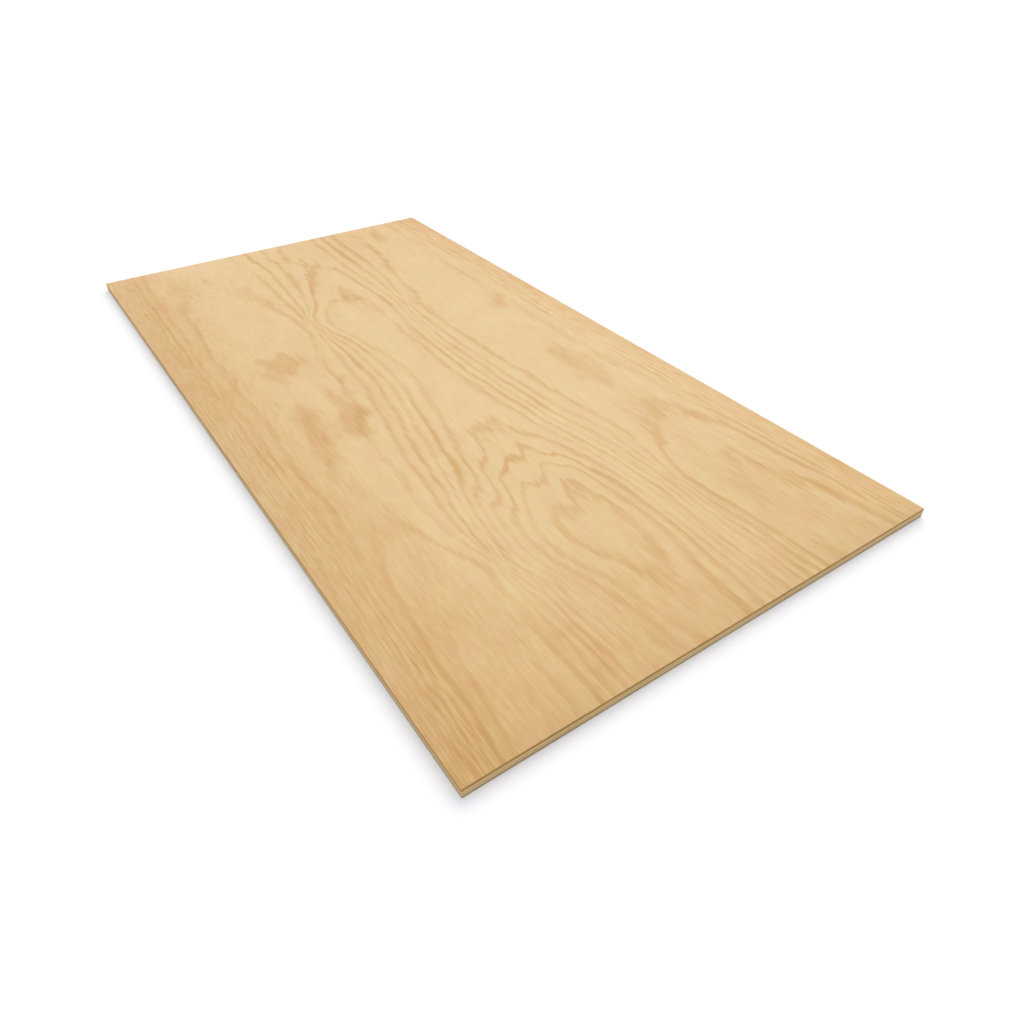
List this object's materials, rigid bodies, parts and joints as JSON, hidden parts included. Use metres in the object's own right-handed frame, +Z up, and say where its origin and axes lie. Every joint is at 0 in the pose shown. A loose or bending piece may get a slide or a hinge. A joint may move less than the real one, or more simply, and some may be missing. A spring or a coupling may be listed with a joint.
{
  "type": "plywood sheet",
  "caption": "Flat rectangular sheet of pine plywood, sanded on the face, with cross-laid veneers showing at its square-sawn edges; stock for shelves, panels and boxes.",
  "frame": {"origin": "middle of the back, on the surface that the sheet lies on", "axes": "+X along the length and the grain of the face, +Y across the width, +Z up out of the sanded face"},
  "size_m": [1.22, 0.61, 0.0125],
  "materials": {
    "face_veneer": "sanded rotary-cut pine, unfinished",
    "core_veneer": "sawn pine edge, unfinished",
    "back_veneer": "rotary-cut pine, touch-sanded"
  },
  "bodies": {
    "root": {"face_veneer": "face_veneer", "upper_core_veneer": "core_veneer", "lower_core_veneer": "core_veneer", "back_veneer": "back_veneer"}
  },
  "joints": []
}
